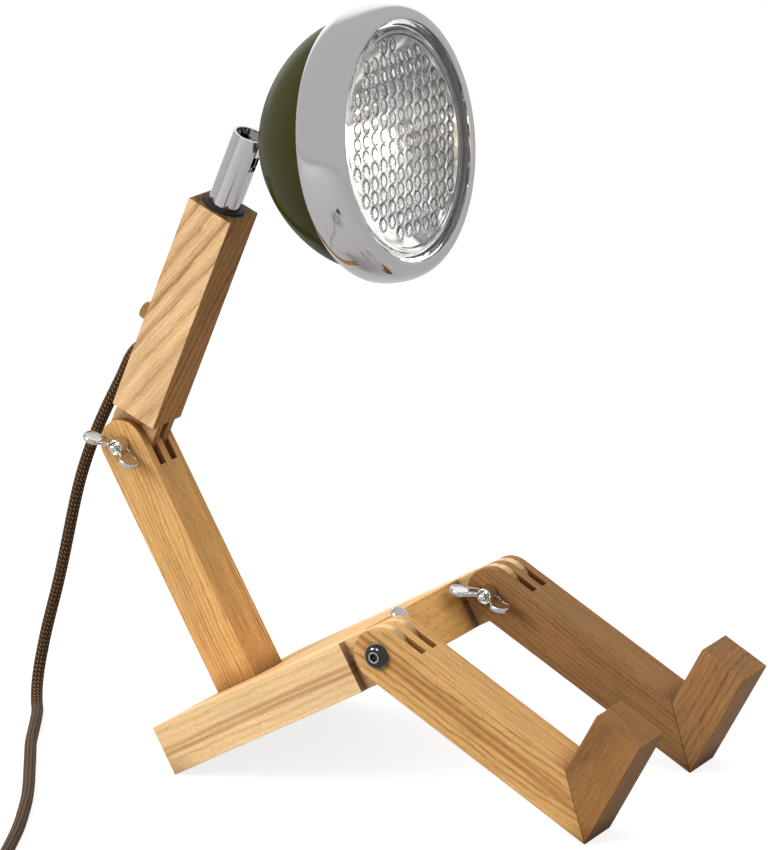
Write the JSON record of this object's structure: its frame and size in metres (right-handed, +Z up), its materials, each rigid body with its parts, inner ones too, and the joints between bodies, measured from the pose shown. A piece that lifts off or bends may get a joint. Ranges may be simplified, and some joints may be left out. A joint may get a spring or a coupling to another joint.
{
  "type": "figure-shaped desk lamp",
  "caption": "Desk lamp shaped like a sitting figure: hinged square wooden blocks with wing nuts, and a round spot lamp head on a chrome tube that swivels and tilts.",
  "frame": {"origin": "centre of the lamp's outline on the table it stands on, cord and plug left out", "axes": "+X the way the figure faces, +Y to the figure's left, +Z up"},
  "size_m": [0.2996, 0.3574, 0.2943],
  "materials": {
    "ash_wood": "clear-oiled ash with open grain",
    "dark_steel": "dark nickel-plated fasteners",
    "bright_nuts": "polished plated wing nuts",
    "chrome_tube": "mirror chrome",
    "chrome_bezel": "mirror chrome",
    "olive_paint": "glossy olive green paint",
    "lens_glass": "clear pressed glass with small bumps on its inner side",
    "bright_reflector": "bright metallised dish",
    "frosted_bulb": "frosted, warm white",
    "white_holder": "white ceramic-like",
    "black_rubber": "matt",
    "black_plastic": "satin black",
    "brass_parts": "polished brass",
    "cord_cloth": "dark brown braided cotton with lighter flecks",
    "nickel_pins": "nickel-plated brass"
  },
  "bodies": {
    "base": {"pelvis_board": "ash_wood", "torso_block": "ash_wood", "torso_screws": "dark_steel", "neck_bolt": "dark_steel", "cord": "cord_cloth", "cord_coil": "cord_cloth", "cord_tail": "cord_cloth", "plug_body": "black_plastic", "plug_pins": "nickel_pins"},
    "neck": {"neck_block": "ash_wood", "tube_bush": "brass_parts", "tube_gasket": "black_rubber", "button_ring": "brass_parts", "switch_body": "black_plastic", "cord_bush": "black_plastic", "inner_lead": "cord_cloth"},
    "tube": {"neck_tube": "chrome_tube", "hinge_fork": "dark_steel", "hinge_pin": "dark_steel"},
    "head": {"head_knuckle": "chrome_tube", "knuckle_nut": "dark_steel", "head_shell": "olive_paint", "bezel_ring": "chrome_bezel", "lens_glass": "lens_glass", "lens_gasket": "black_rubber", "reflector": "bright_reflector", "bulb_holder": "white_holder", "bulb": "frosted_bulb", "head_lead": "cord_cloth"},
    "button": {"button_cap": "brass_parts"},
    "right_leg": {"leg_right": "ash_wood", "foot_right": "ash_wood", "hip_bolt_right": "dark_steel"},
    "left_leg": {"leg_left": "ash_wood", "foot_left": "ash_wood", "hip_bolt_left": "dark_steel"},
    "neck_nut": {"neck_wing_nut": "bright_nuts"},
    "right_hip_nut": {"hip_wing_nut_right": "bright_nuts"},
    "left_hip_nut": {"hip_wing_nut_left": "bright_nuts"}
  },
  "joints": [
    {"name": "neck_pitch", "type": "hinge", "parent": "base", "child": "neck", "pos_m": [-0.11743, 0, 0.11504], "axis": [0, 1, 0], "range_deg": [-140, 40], "deforming": ["cord"]},
    {"name": "head_swivel", "type": "hinge", "parent": "neck", "child": "tube", "pos_m": [-0.07244, 0, 0.21212], "axis": [0.4204, 0, 0.9073], "range_deg": [-90, 90]},
    {"name": "head_tilt", "type": "hinge", "parent": "tube", "child": "head", "pos_m": [-0.06214, 0, 0.23435], "axis": [0, 1, 0], "range_deg": [-43, 40]},
    {"name": "button_press", "type": "slide", "parent": "neck", "child": "button", "axis": [0.9073, 0, -0.4204], "range_m": [0, 0.0015], "stiffness_N_per_m": 1500, "springref_m": -0.001},
    {"name": "right_hip_pitch", "type": "hinge", "parent": "base", "child": "right_leg", "pos_m": [0.02119, -0.043, 0.06046], "axis": [0, 1, 0], "range_deg": [-150, 45]},
    {"name": "left_hip_pitch", "type": "hinge", "parent": "base", "child": "left_leg", "pos_m": [0.02119, 0.043, 0.06046], "axis": [0, 1, 0], "range_deg": [-150, 45]},
    {"name": "neck_nut_turn", "type": "hinge", "parent": "base", "child": "neck_nut", "pos_m": [-0.11743, -0.016, 0.11504], "axis": [0, 1, 0], "continuous": true},
    {"name": "right_hip_nut_turn", "type": "hinge", "parent": "right_leg", "child": "right_hip_nut", "pos_m": [0.02119, -0.028, 0.06046], "axis": [0, 1, 0], "continuous": true},
    {"name": "left_hip_nut_turn", "type": "hinge", "parent": "left_leg", "child": "left_hip_nut", "pos_m": [0.02119, 0.028, 0.06046], "axis": [0, 1, 0], "continuous": true}
  ]
}
